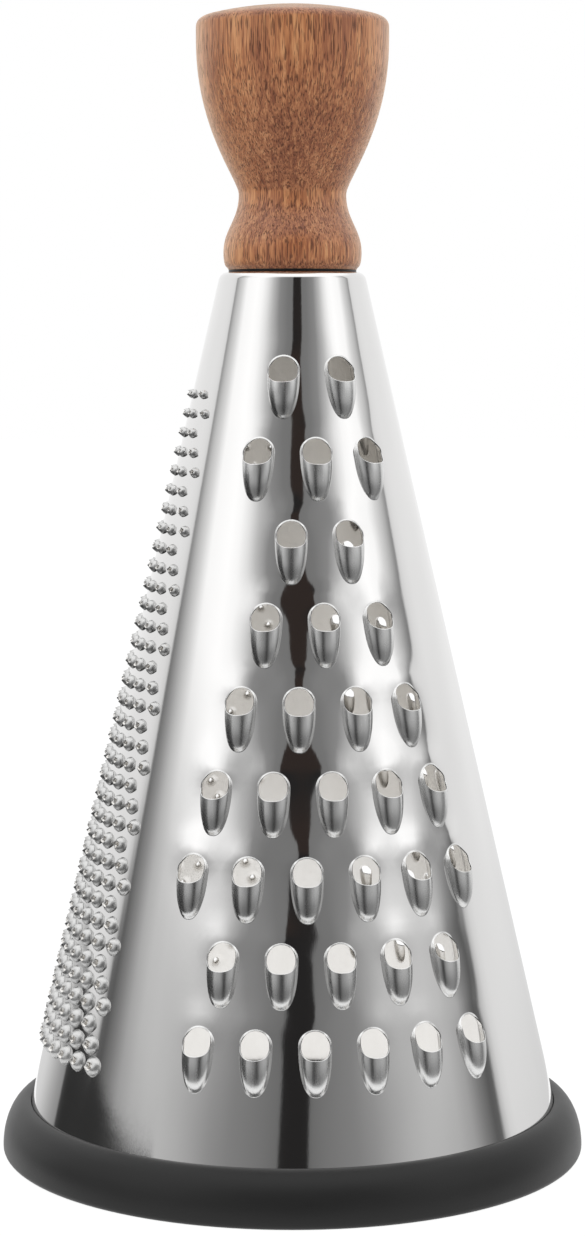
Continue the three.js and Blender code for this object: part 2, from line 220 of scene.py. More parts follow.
def sheet_normals(flat):
    """Normals of the plain sheet, with the slope that its bulges give it."""
    _, azimuth = cone_place(flat)
    around, up, out = sheet_axes(azimuth)
    turn = ((azimuth - SHEET_MIDDLE) * math.sin(LEAN))[:, None]
    side = np.hstack([np.cos(turn), np.sin(turn)]) * SLOPE_STEP
    rise = np.hstack([-np.sin(turn), np.cos(turn)]) * SLOPE_STEP
    across = ((bulge(flat + side) - bulge(flat - side)) / (2 * SLOPE_STEP))[:, None]
    along = ((bulge(flat + rise) - bulge(flat - rise)) / (2 * SLOPE_STEP))[:, None]
    return unit(out - across * around - along * up)


def unit(vectors):
    return vectors / np.maximum(np.linalg.norm(vectors, axis=-1, keepdims=True), SHORTEST)


class Skin:
    """Points and faces of one piece, gathered before its mesh is made."""

    def __init__(self):
        self.blocks, self.count = [], 0
        self.faces, self.surfaces, self.finishes = [], [], []
        self.fixed = []

    def add(self, points):
        points = np.asarray(points, float).reshape(-1, 3)
        self.blocks.append(points)
        self.count += len(points)
        return np.arange(self.count - len(points), self.count)

    def face(self, corners, surface=OUTSIDE, finish=0):
        self.faces.append([int(corner) for corner in corners])
        self.surfaces.append(surface)
        self.finishes.append(finish)

    def band(self, lower, upper, surface=OUTSIDE, finish=0, closed=True):
        """Faces between two rows of points; a row of one point is a pole."""
        steps = max(len(lower), len(upper))
        for i in range(steps if closed else steps - 1):
            j = (i + 1) % steps
            if len(lower) == 1:
                self.face((lower[0], upper[j], upper[i]), surface, finish)
            elif len(upper) == 1:
                self.face((lower[i], lower[j], upper[0]), surface, finish)
            else:
                self.face((lower[i], lower[j], upper[j], upper[i]), surface, finish)

    def fix(self, surface, corners, normals):
        """Sets the normals that these points have on one surface."""
        self.fixed.append((surface, corners, normals))

    def points(self):
        return np.vstack(self.blocks)

    def corner_normals(self):
        """One normal for each face corner, smooth over each surface."""
        keys = [[surface * self.count + corner for corner in corners]
                for corners, surface in zip(self.faces, self.surfaces)]
        layers = max(self.surfaces) + 1
        normals = smooth_normals(np.tile(self.points(), (layers, 1)), keys)
        for surface, corners, fixed in self.fixed:
            normals[surface * self.count + corners] = fixed
        return normals[np.concatenate(keys)]

    def make(self, name, materials):
        """Mesh object of the piece; a face's finish is the place of its material in the list."""
        mesh = bpy.data.meshes.new(name)
        mesh.from_pydata((self.points() * MM).tolist(), [], self.faces)
        for material in materials:
            mesh.materials.append(material)
        mesh.polygons.foreach_set("material_index", self.finishes)
        mesh.polygons.foreach_set("use_smooth", [True] * len(self.faces))
        mesh.normals_split_custom_set(self.corner_normals().tolist())
        piece = bpy.data.objects.new(name, mesh)
        bpy.context.scene.collection.objects.link(piece)
        return piece


class Blank:
    """The unrolled sheet before it is punched: its points and the lines that its triangles keep to."""

    def __init__(self):
        self.points, self.lines, self.owners = [], [], []

    def line(self, flat, closed):
        """Adds an outline, or a part of the border, and gives the numbers of its points."""
        first = len(self.points)
        count = len(flat)
        self.points.extend(flat.tolist())
        self.owners.extend([first] * count)
        steps = count if closed else count - 1
        self.lines.extend((first + i, first + (i + 1) % count) for i in range(steps))
        return np.arange(first, first + count)

    def fill(self, flat):
        """Adds loose points, which belong to no outline."""
        self.points.extend(flat.tolist())
        self.owners.extend([-1] * len(flat))

    def triangles(self):
        """Triangles of the sheet, without those inside one outline."""
        corners = [Vector(point) for point in self.points]
        _, _, found, sources, _, _ = geometry.delaunay_2d_cdt(corners, self.lines, [], 0, SAME_PLACE)
        origin = np.array([points[0] for points in sources])
        faces = origin[np.array(found)]
        owners = np.array(self.owners)[faces]
        inside = (owners[:, 0] >= 0) & (owners[:, 0] == owners[:, 1]) & (owners[:, 1] == owners[:, 2])
        faces = faces[~inside]
        flat = np.array(self.points)[faces]
        first, second = flat[:, 1] - flat[:, 0], flat[:, 2] - flat[:, 0]
        area = first[:, 0] * second[:, 1] - first[:, 1] * second[:, 0]
        faces[area < 0] = faces[area < 0][:, ::-1]
        return faces


def eased(value):
    """Smooth step from 0 to 1."""
    value = np.clip(value, 0, 1)
    return value * value * (3 - 2 * value)


# The hood is half of a blunt ellipsoid. Near its foot a small fillet takes over, and its rise fades above
# the mouth. Its rings crowd near its foot.
FILLET_FROM, FILLET_TO = 0.97, 1.04
TOP_RISE = 0.08
NOSE_BLUNTNESS = 2.35
LIP_FLATNESS = 0.85
LIP_DROP = 0.95
LIP_EDGE = 0.1
FADE_RATE = 1.2
RING_CROWDING = 1.5


def dome(level):
    """Height of a hood of rise 1, where its level is 0 at its axis and 1 at its foot."""
    round_part = np.sqrt(np.maximum(1 - level ** 2, 0))
    start = math.sqrt(1 - FILLET_FROM ** 2)
    slope = -FILLET_FROM / start * (FILLET_TO - FILLET_FROM)
    t = np.clip((level - FILLET_FROM) / (FILLET_TO - FILLET_FROM), 0, 1)
    fillet = start * (2 * t ** 3 - 3 * t ** 2 + 1) + slope * (t ** 3 - 2 * t ** 2 + t)
    return np.where(level < FILLET_FROM, round_part, fillet)


def hood_level(across, up, shape):
    """How far a point is from the hood's axis: 1 on the hood's outline."""
    reach = np.where(up < 0, shape["length"], shape["half_width"])
    bluntness = np.where(up < 0, NOSE_BLUNTNESS, 2)
    total = np.abs(across / shape["half_width"]) ** bluntness + np.abs(up / reach) ** bluntness
    return total ** (1 / bluntness)


def oval(angle, width, low, high, flatness):
    """Closed outline, round above; below, a flatness under 1 squares it."""
    cosine, sine = np.cos(angle), np.sin(angle)
    bend = np.where(sine < 0, flatness, 1)
    across = width * np.sign(cosine) * np.abs(cosine) ** bend
    return np.stack([across, np.where(sine < 0, low, high) * np.sign(sine) * np.abs(sine) ** bend], -1)


def hood_rings(shape):
    """Local rings (across, up, outward) from the hood's foot to its lip, and the bevel of the lip."""
    angle = 2 * math.pi * (np.arange(shape["sides"]) + 0.5) / shape["sides"]
    mouth, width = shape["mouth"], shape["half_width"]
    foot = FILLET_TO * oval(angle, width, shape["length"], width, 2 / NOSE_BLUNTNESS)
    lip = oval(angle, mouth, mouth * LIP_DROP, mouth, LIP_FLATNESS)
    fade = 1 - (1 - TOP_RISE) * eased(FADE_RATE * np.sin(angle))
    shares = np.linspace(0, 1, shape["steps"]) ** RING_CROWDING
    shares = np.insert(shares, -1, 1 - LIP_EDGE / shape["length"])
    rings = []
    for share in shares:
        flat = foot + (lip - foot) * share
        level = np.minimum(hood_level(flat[:, 0], flat[:, 1], shape), FILLET_TO)
        rings.append(np.column_stack([flat, shape["rise"] * fade * dome(level)]))
    edge = rings[-1].copy()
    edge[:, :2] *= 1 - shape["bevel"] / mouth
    edge[:, 2] -= shape["bevel"]
    return rings + [edge]


# A burr is a dome with a torn top. Each ring has a radius, the radius that a petal adds, a height and
# the height that a petal adds.
BURR_OUTER = ((1.93, 0, 0.15, 0), (1.8, 0, 0.42, 0), (1.55, 0.02, 0.72, 0.05), (1.2, 0.06, 0.92, 0.2),
              (0.85, 0.15, 0.95, 0.5))
BURR_INNER = ((0.55, 0.12, 0.7, 0.45), (0.35, 0.2, 0.2, 0), (0.8, 0, -0.35, 0))
BURR_PETAL = (0, 0.6, 1, 0.5, 0, 0.3, 0.9, 0.8, 0.2, 0, 0.5, 1, 0.9, 0.4, 0.1, 0)
BURR_TURN = math.radians(45)
BURR_TURN_SPREAD = 0.3
BURR_SEED = 7


def burr_size(height):
    """Share of the full width that a burr has at this height."""
    lowest, highest = BURRS[0][0], BURRS[-1][0]
    return 1 - (1 - BURR_TOP_SIZE) * (height - lowest) / (highest - lowest)


def burr_ring(radius, flare, height, gain, turn, size):
    """Local ring (across, up, outward) of a burr; a smaller burr also stands out less."""
    petal = np.resize(BURR_PETAL, BURR_SIDES)
    angle = 2 * math.pi * np.arange(BURR_SIDES) / BURR_SIDES + turn
    reach = size * (radius + flare * petal)
    outward = (height + gain * petal) * (1 + size) / 2
    return np.column_stack([reach * np.cos(angle), reach * np.sin(angle), outward])


def under_teeth(flat):
    """Which points of the unrolled sheet lie within a tooth or a burr."""
    across, up = seen_from(BURRS, flat)
    covered = (np.hypot(across, up) < BURR_FOOT * burr_size(np.array(BURRS)[:, 0])).any(1)
    for shape, places in HOODS:
        across, up = seen_from(places, flat)
        covered |= (hood_level(across, up, shape) < FILLET_TO).any(1)
    return covered


def filling_points(blank):
    """Evenly spread points of the plain sheet, clear of every outline."""
    tree = kdtree.KDTree(len(blank.points))
    for i, point in enumerate(blank.points):
        tree.insert((*point, 0), i)
    tree.balance()
    rows = []
    for row, height in enumerate(np.arange(SHEET_STEP / 2, BEND_HEIGHT - SHEET_STEP / 2, SHEET_STEP)):
        count = int(2 * math.pi * cone_radius(height) / SHEET_STEP)
        turns = (np.arange(count) + 0.5 * (row % 2)) / count
        rows.append(flat_place(np.full(count, height), SEAM_AZIMUTH - 2 * math.pi * turns))
    flat = np.vstack(rows)
    flat = flat[~under_teeth(flat)]
    clear = [tree.find((*point, 0))[2] > FILL_CLEARANCE for point in flat]
    return flat[clear]


def smooth_normals(points, faces):
    """Mean normal of the faces round each point, each by its area."""
    total = np.zeros_like(points)
    for size in (3, 4):
        rows = np.array([corners for corners in faces if len(corners) == size])
        if len(rows):
            first, second, third, last = (points[rows[:, k]] for k in (0, 1, 2, size - 1))
            if size == 4:
                area = np.cross(third - first, last - second)
            else:
                area = np.cross(second - first, third - first)
            for k in range(size):
                np.add.at(total, rows[:, k], area)
    return unit(total)


def open_edges(faces):
    """Edges that only one face has."""
    edges = set()
    for corners in faces:
        edges.update(zip(corners, corners[1:] + corners[:1]))
    return [edge for edge in edges if edge[::-1] not in edges]


def sheet_border(blank):
    """Rim, bend line and seam of the sheet; the seam's two sides are later joined."""
    start, end = SEAM_AZIMUTH - 2 * math.pi, SEAM_AZIMUTH
    heights = np.linspace(0, BEND_HEIGHT, int(BEND_HEIGHT / SHEET_STEP) + 1)[1:-1]

    def level_line(height, steps):
        return blank.line(flat_place(np.full(steps + 1, height), np.linspace(start, end, steps + 1)), False)

    def seam_line(azimuth):
        return blank.line(flat_place(heights, np.full(len(heights), azimuth)), False)

    rim = level_line(0, RIM_STEPS)
    bend = level_line(BEND_HEIGHT, TOP_STEPS)
    left = seam_line(start)
    right = seam_line(end)
    for side, end_at in ((left, 0), (right, -1)):
        blank.lines.append((rim[end_at], side[0]))
        blank.lines.append((side[-1], bend[end_at]))
    joined = {rim[-1]: rim[0], bend[-1]: bend[0]}
    joined.update(zip(right, left))
    return bend, joined


def punched_sheet():
    """The cone's sheet with its teeth, burrs and bent top, as one closed skin."""
    blank = Blank()
    bend, joined = sheet_border(blank)
    hoods = []
    for shape, places in HOODS:
        rings = hood_rings(shape)
        for place in places:
            foot = blank.line(placed(rings[0][:, :2], *place), True)
            hoods.append((foot, rings[1:], place, shape["wall"]))
    spread = np.random.default_rng(BURR_SEED).uniform(-BURR_TURN_SPREAD, BURR_TURN_SPREAD, len(BURRS))
    turns = BURR_TURN + spread
    feet = []
    for place, turn in zip(BURRS, turns):
        ring = burr_ring(BURR_FOOT, 0, 0, 0, turn, burr_size(place[0]))
        feet.append(blank.line(placed(ring[:, :2], *place), True))
    blank.fill(filling_points(blank))

    join = np.arange(len(blank.points))
    for old, new in joined.items():
        join[old] = new
    flat = np.array(blank.points)
    skin = Skin()
    plain = skin.add(rolled(flat, bulge(flat)))
    walls = [np.full(len(flat), SHEET)]
    for triangle in join[blank.triangles()]:
        skin.face(triangle, OUTSIDE, POLISHED)
    for foot, rings, place, wall in hoods:
        lower = foot
        for ring in rings:
            spot = placed(ring[:, :2], *place)
            upper = skin.add(rolled(spot, ring[:, 2] + bulge(spot)))
            walls.append(np.full(len(ring), wall))
            skin.band(lower, upper, OUTSIDE, PRESSED)
            lower = upper
    add_top(skin, walls, join[bend][:-1])

    outside = list(skin.faces)
    points = skin.points()
    normals = smooth_normals(points, outside)
    normals[plain] = sheet_normals(flat)
    outer = np.arange(len(points))
    inner = skin.add(points - normals * np.concatenate(walls)[:, None])
    skin.fix(OUTSIDE, outer, normals)
    skin.fix(INSIDE, inner, -normals)
    for corners in outside:
        skin.face(inner[corners[::-1]], INSIDE, RAW)
    burr_points = set(np.concatenate(feet).tolist())
    for first, second in open_edges(outside):
        if first not in burr_points:
            skin.face((second, first, inner[first], inner[second]), EDGE, PRESSED)
    for place, turn, foot in zip(BURRS, turns, feet):
        add_burr(skin, place, turn, foot, inner[foot])
        skin.fix(BURR_FLANK, foot, normals[foot])
        skin.fix(BURR_HOLE, inner[foot], -normals[foot])
    return skin


def add_top(skin, walls, bend):
    """Rings over the bend and the plate, up to the screw's hole."""
    axis_x = cone_radius(CONE_HEIGHT) - TOP_BEND * math.tan((math.pi / 2 - LEAN) / 2)
    azimuth = SEAM_AZIMUTH - 2 * math.pi + 2 * math.pi * np.arange(TOP_STEPS) / TOP_STEPS
    arc = [(axis_x + TOP_BEND * math.cos(a), SEAT_LEVEL - TOP_BEND + TOP_BEND * math.sin(a))
           for a in np.linspace(LEAN, math.pi / 2, BEND_STEPS + 1)[1:]]
    plate = [(radius, SEAT_LEVEL) for radius in np.linspace(axis_x, SCREW_HOLE, PLATE_STEPS + 1)[1:]]
    lower = bend
    for radius, level in arc + plate:
        upper = skin.add(np.column_stack([radius * np.sin(azimuth), -radius * np.cos(azimuth),
                                          np.full(TOP_STEPS, level)]))
        walls.append(np.full(TOP_STEPS, SHEET))
        skin.band(lower, upper, OUTSIDE, POLISHED)
        lower = upper


def add_burr(skin, place, turn, foot, inner_foot):
    """Rings of a burr from its foot over its torn top and down through its hole."""
    lower = foot
    flank = [(ring, BURR_FLANK, TORN) for ring in BURR_OUTER]
    hole = [(ring, BURR_HOLE, RAW) for ring in BURR_INNER]
    for ring, surface, finish in flank + hole:
        local = burr_ring(*ring, turn, burr_size(place[0]))
        upper = skin.add(rolled(placed(local[:, :2], *place), local[:, 2]))
        skin.band(lower, upper, surface, finish)
        lower = upper
    skin.band(lower, inner_foot, BURR_HOLE, RAW)


def turned(runs, steps):
    """Closed skin turned about the Z axis. Each run of (radius, level) points is one smooth surface.

    A radius or a level may differ round the axis: it is then an array with one value for each step.
    """
    skin = Skin()
    azimuth = 2 * math.pi * np.arange(steps) / steps
    rows = {}

    def row(point):
        radius, level = point
        key = (np.asarray(radius).tobytes(), np.asarray(level).tobytes())
        if key not in rows:
            if np.ndim(radius) == 0 and radius == 0:
                rows[key] = skin.add((0, 0, level))
            else:
                rows[key] = skin.add(np.column_stack([radius * np.sin(azimuth), -radius * np.cos(azimuth),
                                                      np.broadcast_to(level, steps)]))
        return rows[key]

    for surface, run in enumerate(runs):
        for lower, upper in zip(run, run[1:]):
            skin.band(row(lower), row(upper), surface)
    return skin


def curve(points, steps):
    """Bezier curve through its end points, as (radius, level) pairs."""
    control = np.array(points, float)
    t = np.linspace(0, 1, steps + 1)[:, None]
    degree = len(control) - 1
    weights = [math.comb(degree, i) * (1 - t) ** (degree - i) * t ** i for i in range(degree + 1)]
    total = sum(weight * point for weight, point in zip(weights, control))
    return [tuple(point) for point in total]


def quarter(centre, across, upright, start, end, steps):
    """Arc of an ellipse between two angles in degrees."""
    angles = np.radians(np.linspace(start, end, steps + 1))
    return [(centre[0] + across * math.cos(a), centre[1] + upright * math.sin(a)) for a in angles]


# Base ring
RING_FIT = 0.1
RING_FLOOR = 1.7
RING_LIP = 0.6
RING_FOOT_EDGE = 1.1
RING_INNER_COVER = 0.6
RING_INNER_WALL = 1.2
RING_SOFT_EDGE = 0.35
RING_EDGE_STEPS = 6
RING_CROWN_STEPS = 24


def base_ring_skin():
    """Ring with a slot for the cone's rim, a round shoulder outside it and a low lip inside it."""
    _, high = node_box("base_ring")
    foot, top = high[0], high[2]
    gap = RING_FIT / math.cos(LEAN)
    lean = math.tan(LEAN)

    def outer(level):
        return RIM_RADIUS - (level - RIM_LEVEL) * lean + gap

    def inner(level):
        return outer(level) - 2 * gap - SHEET / math.cos(LEAN)

    lip_top = RIM_LEVEL + RING_INNER_COVER
    bore = inner(lip_top) - RING_INNER_WALL
    crown = (outer(top) + RING_LIP, RING_FOOT_EDGE)
    edge = (foot - RING_FOOT_EDGE, RING_FOOT_EDGE)
    side = quarter(edge, RING_FOOT_EDGE, RING_FOOT_EDGE, -90, 0, RING_EDGE_STEPS)
    side += quarter(crown, foot - crown[0], top - RING_FOOT_EDGE, 0, 90, RING_CROWN_STEPS)[1:]
    soft = RING_SOFT_EDGE
    side += quarter((outer(top) + soft, top - soft), soft, soft, 90, 180, SOFT_STEPS)[1:]
    return turned([
        [(bore + soft, 0), side[0]],
        side,
        [side[-1], (outer(RING_FLOOR), RING_FLOOR)],
        [(outer(RING_FLOOR), RING_FLOOR), (inner(RING_FLOOR), RING_FLOOR)],
        [(inner(RING_FLOOR), RING_FLOOR), (inner(lip_top), lip_top)],
        [(inner(lip_top), lip_top), (bore + soft, lip_top)],
        quarter((bore + soft, lip_top - soft), soft, soft, 90, 180, SOFT_STEPS)
        + quarter((bore + soft, soft), soft, soft, 180, 270, SOFT_STEPS),
    ], TURNED_STEPS)


# Handle: radii and levels of its outline, above its seat
SEAT_RADIUS = 12.4
BASE = (13.4, 3)
WAIST = (10.4, 14.1)
TOP_SHOULDER = 6.8
TOP_SIDE = 2.7
TOP_EDGE = 2.1
TOP_DOME = 2
NECK_PULLS = (0.4, 0.44)
BOWL_PULLS = (0.1, 0.58)
BORE_RADIUS = 5.35
BORE_DEPTH = 16
# How far the knob's seat and the seal's faces lie below those of the solids, which keep small gaps there
PRESSED_DOWN = 0.35
SEAL_DROP = 0.17
SEAL_PRESSED = 0.18
SEAL_SOFT_EDGE = 0.1
SEAT_STEPS = 8
NECK_STEPS = 20
BOWL_STEPS = 28
TOP_EDGE_STEPS = 10
DOME_STEPS = 12


def handle_skin():
    """Knob with a foot, a waist, a bowl and a low dome, and with the bore for its sleeve."""
    low, high = node_box("wood_handle")
    height, top = high[2] - low[2], high[0]
    widest = height - TOP_SHOULDER
    neck, bowl = WAIST[1] - BASE[1], widest - WAIST[1]
    dome_radius, dome_level = top - TOP_EDGE, height - TOP_DOME
    dome_slope = 2 * TOP_DOME / dome_radius
    side = curve([(SEAT_RADIUS, 0), (BASE[0], 0), BASE], SEAT_STEPS)
    neck_low, neck_high = BASE[1] + NECK_PULLS[0] * neck, WAIST[1] - NECK_PULLS[1] * neck
    bowl_low, bowl_high = WAIST[1] + BOWL_PULLS[0] * bowl, widest - BOWL_PULLS[1] * bowl
    side += curve([BASE, (BASE[0], neck_low), (WAIST[0], neck_high), WAIST], NECK_STEPS)[1:]
    side += curve([WAIST, (WAIST[0], bowl_low), (top, bowl_high), (top, widest)], BOWL_STEPS)[1:]
    side += [(top, widest + TOP_SIDE)]
    edge = (top, dome_level - TOP_EDGE * dome_slope)
    side += curve([side[-1], edge, (dome_radius, dome_level)], TOP_EDGE_STEPS)[1:]
    side += curve([side[-1], (dome_radius / 2, height), (0, height)], DOME_STEPS)[1:]
    side[0] = (SEAT_RADIUS, -PRESSED_DOWN)
    runs = [
        [(0, BORE_DEPTH), (BORE_RADIUS, BORE_DEPTH)],
        [(BORE_RADIUS, BORE_DEPTH), (BORE_RADIUS, -PRESSED_DOWN)],
        [(BORE_RADIUS, -PRESSED_DOWN), side[0]],
        side,
    ]
    seat = low[2]
    return turned([[(radius, level + seat) for radius, level in run] for run in runs], TURNED_STEPS)


def washer_skin(node, soft, drop=0, pressed=0):
    """Flat ring with rounded outer edges; its faces can lie lower than the solid's."""
    low, high = node_box(node)
    rim = max(high[0], high[1])
    bottom, top = low[2] - drop, high[2] - pressed
    lower_edge = quarter((rim - soft, bottom + soft), soft, soft, -90, 0, SOFT_STEPS)
    upper_edge = quarter((rim - soft, top - soft), soft, soft, 0, 90, SOFT_STEPS)
    return turned([
        [(SCREW_HOLE, bottom), (rim - soft, bottom)],
        lower_edge + upper_edge,
        [(rim - soft, top), (SCREW_HOLE, top)],
        [(SCREW_HOLE, top), (SCREW_HOLE, bottom)],
    ], SMALL_STEPS)


# Screw, sleeve and split washer
THREAD_PITCH = 1
THREAD_DEPTH = 0.5
SCREW_RADIUS = 2.9
HEAD_HEIGHT = 3.4
HEAD_STEPS = 8
SOCKET_RADIUS = 2.3
SOCKET_DEPTH = 1.9
SLEEVE_RADIUS = 4.55
SLEEVE_RIBS = 3
SLEEVE_RIB_RISE = 0.5
SLEEVE_PLAIN_END = 0.2
WASHER_SOFT_EDGE = 0.2
SPLIT_WIDTH = 1.2
SPLIT_RISE = 0.35
THREAD_STEPS = 8


def thread_rows(radius, depth, start, end):
    """Rows of a right-handed thread between two levels, with plain ends."""
    azimuth = np.arange(SMALL_STEPS) / SMALL_STEPS
    rows = []
    for level in np.arange(start, end, THREAD_PITCH / THREAD_STEPS):
        ridge = np.abs(2 * ((level / THREAD_PITCH - azimuth) % 1) - 1)
        fade = min(1, (level - start) / THREAD_PITCH, (end - level) / THREAD_PITCH)
        rows.append((radius - depth * fade * (1 - ridge), level))
    return rows


def screw_skin():
    """Screw with a six-sided socket in its head, which is at its lower end."""
    low, high = node_box("handle_screw")
    head, tip = low[2], high[2]
    rim = max(high[0], high[1])
    azimuth = 2 * math.pi * np.arange(SMALL_STEPS) / SMALL_STEPS
    sixth = math.pi / 3
    socket = SOCKET_RADIUS * math.cos(sixth / 2) / np.cos(azimuth % sixth - sixth / 2)
    round_edge = HEAD_HEIGHT / 2
    seat = head + HEAD_HEIGHT
    core = SCREW_RADIUS - THREAD_DEPTH
    thread = thread_rows(SCREW_RADIUS, THREAD_DEPTH, seat + THREAD_PITCH, tip)
    head_side = quarter((rim - round_edge, head + round_edge), round_edge, round_edge, -90, 0, HEAD_STEPS)
    return turned([
        [(0, head + SOCKET_DEPTH), (socket, head + SOCKET_DEPTH)],
        [(socket, head + SOCKET_DEPTH), (socket, head)],
        [(socket, head), (rim - round_edge, head)],
        head_side + [(rim, seat)],
        [(rim, seat), (SCREW_RADIUS, seat)],
        [(SCREW_RADIUS, seat), *thread, (core, tip)],
        [(core, tip), (0, tip)],
    ], SMALL_STEPS)


def sleeve_skin():
    """Sleeve with ribs outside and a thread in its bore."""
    low, high = node_box("threaded_insert")
    bottom, top = low[2], high[2]
    step = (top - bottom) / (2 * SLEEVE_RIBS + 1)
    runs = [[(SCREW_HOLE, bottom), (SLEEVE_RADIUS, bottom)]]
    for i in range(2 * SLEEVE_RIBS + 1):
        radius = SLEEVE_RADIUS + (SLEEVE_RIB_RISE if i % 2 else 0)
        if runs[-1][-1][0] != radius:
            runs.append([runs[-1][-1], (radius, bottom + i * step)])
        runs.append([(radius, bottom + i * step), (radius, bottom + (i + 1) * step)])
    runs.append([runs[-1][-1], (SCREW_HOLE, top)])
    bore = thread_rows(SCREW_HOLE, -THREAD_DEPTH / 2, bottom + SLEEVE_PLAIN_END, top - SLEEVE_PLAIN_END)
    runs.append([(SCREW_HOLE, top), *bore[::-1], (SCREW_HOLE, bottom)])
    return turned(runs, SMALL_STEPS)


def split_washer_skin():
    """Spring washer: a rectangle swept round most of a turn, so that its ends stand apart."""
    low, high = node_box("lock_washer")
    rim = high[1]
    bottom, top = low[2], high[2] - SPLIT_RISE
    skin = Skin()
    gap = SPLIT_WIDTH / rim / 2
    angles = np.linspace(gap, 2 * math.pi - gap, SMALL_STEPS)
    lift = SPLIT_RISE * (1 - angles / (2 * math.pi))
    rows = []
    for radius, level in ((SCREW_HOLE, bottom), (rim, bottom), (rim, top), (SCREW_HOLE, top)):
        row = np.column_stack([radius * np.cos(angles), radius * np.sin(angles), level + lift])
        rows.append(skin.add(row))
    sides = len(rows)
    for surface in range(sides):
        skin.band(rows[surface], rows[(surface + 1) % sides], surface, closed=False)
    skin.face([row[0] for row in rows], sides)
    skin.face([row[-1] for row in rows][::-1], sides + 1)
    return skin


class Value:
    """A shader socket that Python's operators work on."""

    def __init__(self, finish, socket):
        self.finish, self.socket = finish, socket

    def __add__(self, other):
        return self.finish.math("ADD", self, other)

    def __sub__(self, other):
        return self.finish.math("SUBTRACT", self, other)

    def __rsub__(self, other):
        return self.finish.math("SUBTRACT", other, self)

    def __mul__(self, other):
        return self.finish.math("MULTIPLY", self, other)

    def __neg__(self):
        return self.finish.math("MULTIPLY", self, -1)

    def __abs__(self):
        return self.finish.math("ABSOLUTE", self)

    __radd__ = __add__
    __rmul__ = __mul__


class Finish:
    """Node tree of one material or of the world."""

    def __init__(self, tree):
        self.tree = tree
        tree.nodes.clear()

    def node(self, kind, settings=None, sockets=None, output=0):
        """Adds a node: its settings come first, then the values or links of its sockets."""
        made = self.tree.nodes.new(kind)
        for key, value in (settings or {}).items():
            if key == "stops":
                self.fill_ramp(made.color_ramp, value)
            else:
                setattr(made, key, value)
        for key, value in (sockets or {}).items():
            socket = self.pick(made.inputs, key)
            if isinstance(value, Value):
                self.tree.links.new(value.socket, socket)
            else:
                socket.default_value = value
        return Value(self, self.pick(made.outputs, output)) if len(made.outputs) else made

    @staticmethod
    def pick(sockets, key):
        if isinstance(key, int):
            return sockets[key]
        return next(socket for socket in sockets if key in (socket.identifier, socket.name))

    @staticmethod
    def fill_ramp(ramp, stops):
        for i, (position, colour) in enumerate(stops):
            stop = ramp.elements[i] if i < 2 else ramp.elements.new(position)
            stop.position = position
            stop.color = (*colour, 1)

    def math(self, operation, *values):
        return self.node("ShaderNodeMath", {"operation": operation}, dict(enumerate(values)))

    def mix(self, factor, first, second, blend="MIX"):
        settings = {"data_type": "RGBA", "blend_type": blend}
        sockets = {"Factor_Float": factor, "A_Color": first, "B_Color": second}
        return self.node("ShaderNodeMix", settings, sockets, "Result_Color")

    def ramp(self, value, stops):
        return self.node("ShaderNodeValToRGB", {"stops": stops}, {"Fac": value})

    def between(self, value, low, high):
        """0 below one value, 1 above another, and a smooth step from one to the other."""
        sockets = {"Value": value, "From Min": low, "From Max": high}
        return self.node("ShaderNodeMapRange", {"interpolation_type": "SMOOTHSTEP"}, sockets)

    def stretched(self, sizes):
        """Object coordinates in which a feature of these sizes in millimetres is one unit."""
        place = self.node("ShaderNodeTexCoord", output="Object")
        scale = [1 / (size * MM) for size in sizes]
        return self.node("ShaderNodeVectorMath", {"operation": "MULTIPLY"}, {0: place, 1: scale})

    def noise(self, sizes, detail, distortion=0.0):
        sockets = {"Vector": self.stretched(sizes), "Scale": 1.0, "Detail": detail,
                   "Distortion": distortion}
        return self.node("ShaderNodeTexNoise", {}, sockets)

    def bump(self, height, depth, normal=None):
        sockets = {"Height": height, "Distance": depth * MM, "Strength": 1.0}
        if normal:
            sockets["Normal"] = normal
        return self.node("ShaderNodeBump", {}, sockets)

    def surface(self, **sockets):
        """Principled surface; names of its sockets are written with underscores."""
        named = {key.replace("_", " "): value for key, value in sockets.items()}
        shader = self.node("ShaderNodeBsdfPrincipled", {}, named)
        self.node("ShaderNodeOutputMaterial", {}, {"Surface": shader})


def new_material(name):
    material = bpy.data.materials.new(name)
    material.use_nodes = True
    return material, Finish(material.node_tree)


def polished_steel():
    material, steel = new_material("polished_steel")
    haze = steel.noise((14, 14, 22), detail=3)
    hairline = steel.noise((0.25, 0.25, 30), detail=2)
    wave = steel.noise((16, 16, 40), detail=1)
    steel.surface(
        Base_Color=steel.mix(haze, (0.76, 0.755, 0.75, 1), (0.81, 0.805, 0.8, 1)),
        Metallic=1.0,
        Roughness=0.02 + 0.04 * haze + 0.03 * hairline,
        Normal=steel.bump(hairline, 0.0012, steel.bump(wave, 0.05)),
    )
    return material


# What a light streak adds to the red, green and blue of pressed steel
STREAK_LIGHT = (0.07, 0.07, 0.06)


def pressed_steel(name, rough, shade):
    """The same sheet where the punch has drawn or torn it: duller, with streaks along the draw. Where it is
    torn, its darker base grey is also painted shade.
    """
    material, steel = new_material(name)
    streak = steel.noise((0.5, 0.5, 12), detail=3)
    speck = steel.noise((0.6, 0.6, 0.6), detail=2)
    light = [shade + more for more in STREAK_LIGHT]
    steel.surface(
        Base_Color=steel.mix(streak, (shade, shade, shade, 1), (*light, 1)),
        Metallic=1.0,
        Roughness=rough + 0.08 * streak + 0.04 * speck,
        Normal=steel.bump(streak, 0.01),
    )
    return material


def inside_steel():
    material, steel = new_material("inside_steel")
    streak = steel.noise((3, 3, 30), detail=3)
    speck = steel.noise((1.2, 1.2, 1.2), detail=3)
    steel.surface(
        Base_Color=steel.mix(streak, (0.77, 0.75, 0.72, 1), (0.84, 0.825, 0.80, 1)),
        Metallic=1.0,
        Roughness=0.26 + 0.16 * speck,
        Normal=steel.bump(speck, 0.02),
    )
    return material


